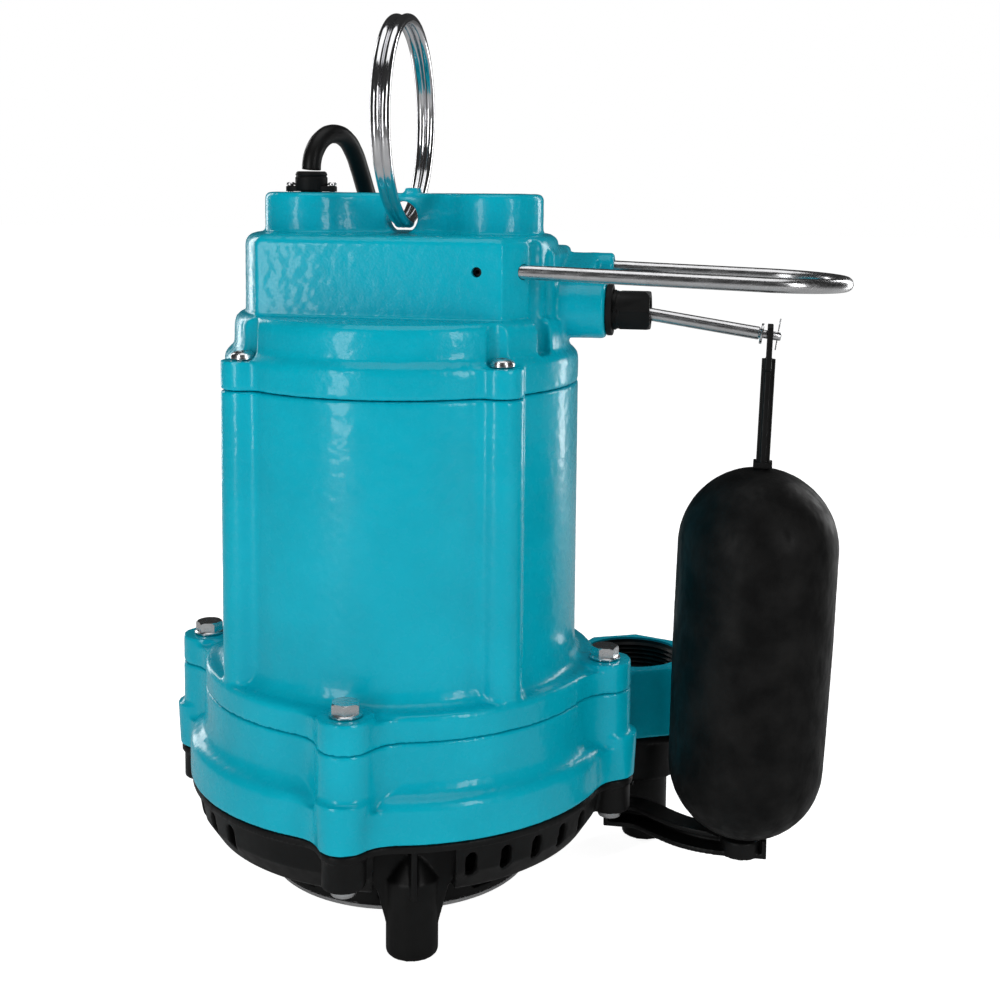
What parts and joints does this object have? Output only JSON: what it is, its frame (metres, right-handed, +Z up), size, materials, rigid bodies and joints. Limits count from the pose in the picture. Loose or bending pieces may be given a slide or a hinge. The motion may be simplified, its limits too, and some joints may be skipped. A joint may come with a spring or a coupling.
{
  "type": "submersible sump pump",
  "caption": "Submersible sump pump with a cast motor housing, slotted base, threaded top discharge and a vertical float on a switch lever.",
  "frame": {"origin": "middle of the bounding box without the cord, on the floor that the feet stand on", "axes": "+Z up along the motor shaft; +X from the pump towards the float; +Y towards the back"},
  "size_m": [0.3444, 0.352, 0.4],
  "materials": {
    "teal_paint": "glossy orange-peel enamel over a cast surface",
    "black_plastic": "satin moulded",
    "black_rubber": "matte",
    "float_rubber": "matte, moulded and slightly uneven",
    "cord_jacket": "satin jacket",
    "brass": "plain",
    "steel": "bright stainless",
    "bright_steel": "polished",
    "lamination": "machined",
    "copper": "enamelled wire",
    "ceramic": "smooth",
    "grey_plastic": "moulded"
  },
  "bodies": {
    "pump": {"cover": "teal_paint", "motor_housing": "teal_paint", "volute_casing": "teal_paint", "discharge_port": "teal_paint", "discharge_liner": "black_plastic", "base": "black_plastic", "inlet_plate": "steel", "float_rest_arm": "black_plastic", "switch_gland": "black_plastic", "gland_washer": "black_rubber", "cover_seal_ring": "black_rubber", "housing_seal_ring": "black_rubber", "float_guard": "steel", "guard_set_screw": "steel", "arm_screw": "steel", "housing_bolt_1": "steel", "housing_bolt_2": "steel", "housing_bolt_3": "steel", "housing_bolt_4": "steel", "base_screw_1": "steel", "base_screw_2": "steel", "base_screw_3": "steel", "base_screw_4": "steel", "cover_screw_1": "steel", "cover_screw_2": "steel", "cover_screw_3": "steel", "cover_screw_4": "steel", "cord_grip": "black_rubber", "grip_screw_1": "steel", "grip_screw_2": "steel", "cord": "cord_jacket", "cord_coil": "cord_jacket", "cord_tail": "cord_jacket", "plug_body": "cord_jacket", "plug_blade_1": "brass", "plug_blade_2": "brass", "plug_ground_pin": "brass", "snap_switch": "grey_plastic", "switch_bracket": "steel", "run_capacitor": "grey_plastic", "stator_core": "lamination", "upper_winding": "copper", "lower_winding": "copper", "lower_bearing": "bright_steel", "upper_bearing": "bright_steel", "bearing_bracket": "lamination", "shaft_seal_seat": "ceramic"},
    "lever": {"switch_lever": "steel", "lever_ball": "black_rubber", "cotter_pin": "bright_steel"},
    "eye": {"lever_washer": "steel"},
    "float": {"float_rod": "black_plastic", "float": "float_rubber"},
    "plunger": {"switch_plunger": "ceramic"},
    "ring": {"lifting_ring": "bright_steel"},
    "rotor": {"rotor": "lamination", "shaft": "bright_steel", "shaft_seal_head": "black_rubber", "impeller": "grey_plastic", "impeller_nut": "steel"}
  },
  "joints": [
    {"name": "rotor_spin", "type": "hinge", "parent": "pump", "child": "rotor", "pos_m": [-0.04525, 0, 0.165], "axis": [0, 0, 1], "continuous": true},
    {"name": "lever_tilt", "type": "hinge", "parent": "pump", "child": "lever", "pos_m": [0.05475, 0, 0.2693], "axis": [0, -1, 0], "range_deg": [0, 18]},
    {"name": "plunger_slide", "type": "slide", "parent": "pump", "child": "plunger", "axis": [0, 0, 1], "range_m": [-0.0126, 0.0001]},
    {"name": "float_swing", "type": "hinge", "parent": "lever", "child": "eye", "pos_m": [0.12065, 0, 0.2593], "axis": [0.9888, 0, -0.1495], "range_deg": [-12, 5]},
    {"name": "float_tilt", "type": "hinge", "parent": "eye", "child": "float", "pos_m": [0.12065, 0, 0.2593], "axis": [0, -1, 0], "range_deg": [-18.3, 0.3]},
    {"name": "ring_swing", "type": "hinge", "parent": "pump", "child": "ring", "pos_m": [-0.04475, 0, 0.3066], "axis": [0, 1, 0], "range_deg": [-25, 45]}
  ],
  "couplings": [
    {"joint": "plunger_slide", "follows": "lever_tilt", "m_per_rad": -0.0395},
    {"joint": "float_tilt", "follows": "lever_tilt", "ratio": -1}
  ]
}
